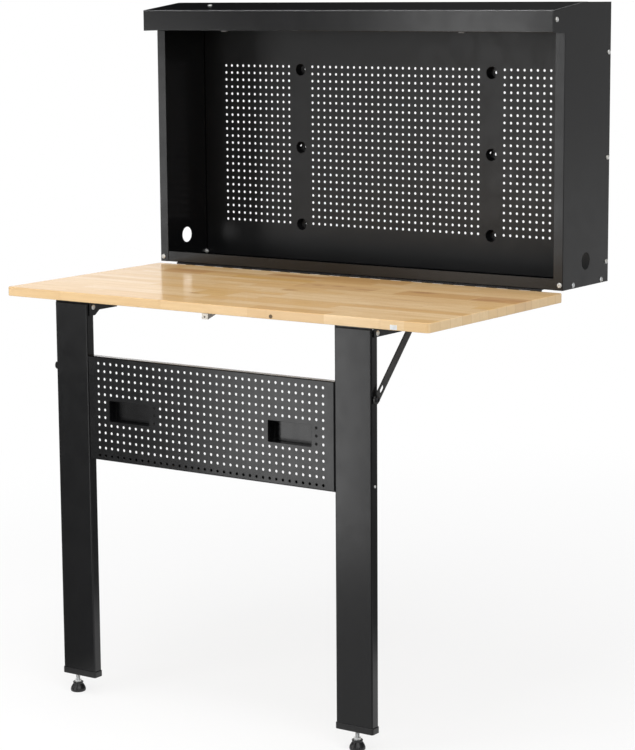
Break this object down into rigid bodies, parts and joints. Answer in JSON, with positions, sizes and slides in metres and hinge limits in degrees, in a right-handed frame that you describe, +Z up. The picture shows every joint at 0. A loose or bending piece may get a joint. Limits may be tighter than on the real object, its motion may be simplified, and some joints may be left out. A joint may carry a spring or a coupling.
{
  "type": "wall mounted folding workbench",
  "caption": "Wall cabinet with a perforated back and hood; a hinged wooden table with folding tube legs and levelling feet closes up over its front.",
  "frame": {"origin": "centre of the four outer wall screws, on the wall plane, with the table down and the legs unfolded", "axes": "+X to the user's right, +Y towards the wall, +Z up; the user stands at -Y"},
  "size_m": [1.2064, 0.8275, 1.666],
  "materials": {
    "black_steel": "satin powder coat",
    "wood": "clear lacquered finger jointed hardwood",
    "zinc": "bright zinc plated",
    "black_bolt": "blackened steel",
    "black_plastic": "moulded",
    "black_rubber": "matt"
  },
  "bodies": {
    "cabinet": {"cabinet_shelf": "black_steel", "cabinet_side_left": "black_steel", "cabinet_side_right": "black_steel", "cabinet_top": "black_steel", "fascia_catch_left": "zinc", "fascia_catch_right": "zinc", "flange_screws": "zinc", "hinge_leaf_cabinet": "zinc", "hinge_pin": "zinc", "hinge_screws_cabinet": "zinc", "hood_fascia": "black_steel", "hood_screws": "zinc", "pegboard": "black_steel", "side_nuts_left": "zinc", "side_nuts_right": "zinc", "side_screws_left": "zinc", "side_screws_right": "zinc", "wall_rail_left": "black_steel", "wall_rail_right": "black_steel"},
    "table": {"bracket_screws": "zinc", "edge_buffer": "black_rubber", "hasp_bracket": "zinc", "hasp_screw": "zinc", "hinge_leaf_table": "zinc", "hinge_screws_table": "zinc", "leg_bracket_left": "black_steel", "leg_bracket_right": "black_steel", "pivot_bolts_left": "zinc", "pivot_bolts_right": "zinc", "stay_rivet_left": "zinc", "stay_rivet_right": "zinc", "strike_plate": "zinc", "tabletop": "wood"},
    "leg_frame": {"foot_insert_left": "zinc", "foot_insert_right": "zinc", "grip_cup_left": "black_steel", "grip_cup_right": "black_steel", "leg_cap_left": "black_plastic", "leg_cap_right": "black_plastic", "leg_left": "black_steel", "leg_right": "black_steel", "leg_screws": "zinc", "lower_panel": "black_steel", "panel_screws": "zinc", "stay_stud_left": "black_bolt", "stay_stud_right": "black_bolt"},
    "foot_left": {"foot_glide_left": "black_plastic", "foot_stud_left": "zinc"},
    "foot_right": {"foot_glide_right": "black_plastic", "foot_stud_right": "zinc"},
    "stay_left": {"stay_left": "black_steel"},
    "stay_right": {"stay_right": "black_steel"}
  },
  "joints": [
    {"name": "table_lift", "type": "hinge", "parent": "cabinet", "child": "table", "pos_m": [0, -0.2282, -0.299], "axis": [-1, 0, 0], "range_deg": [0, 90]},
    {"name": "leg_fold", "type": "hinge", "parent": "table", "child": "leg_frame", "pos_m": [0, -0.802, -0.336], "axis": [1, 0, 0], "range_deg": [0, 90]},
    {"name": "stay_right_swing", "type": "hinge", "parent": "table", "child": "stay_right", "pos_m": [0.458, -0.6645, -0.335], "axis": [1, 0, 0], "range_deg": [0, 133]},
    {"name": "stay_left_swing", "type": "hinge", "parent": "table", "child": "stay_left", "pos_m": [-0.458, -0.6645, -0.335], "axis": [1, 0, 0], "range_deg": [0, 133]},
    {"name": "foot_right_slide", "type": "slide", "parent": "leg_frame", "child": "foot_right", "axis": [0, 0, 1], "range_m": [-0.015, 0.008]},
    {"name": "foot_left_slide", "type": "slide", "parent": "leg_frame", "child": "foot_left", "axis": [0, 0, 1], "range_m": [-0.015, 0.008]}
  ],
  "couplings": [
    {"joint": "stay_right_swing", "follows": "leg_fold", "ratio": 1.4777},
    {"joint": "stay_left_swing", "follows": "leg_fold", "ratio": 1.4777}
  ]
}
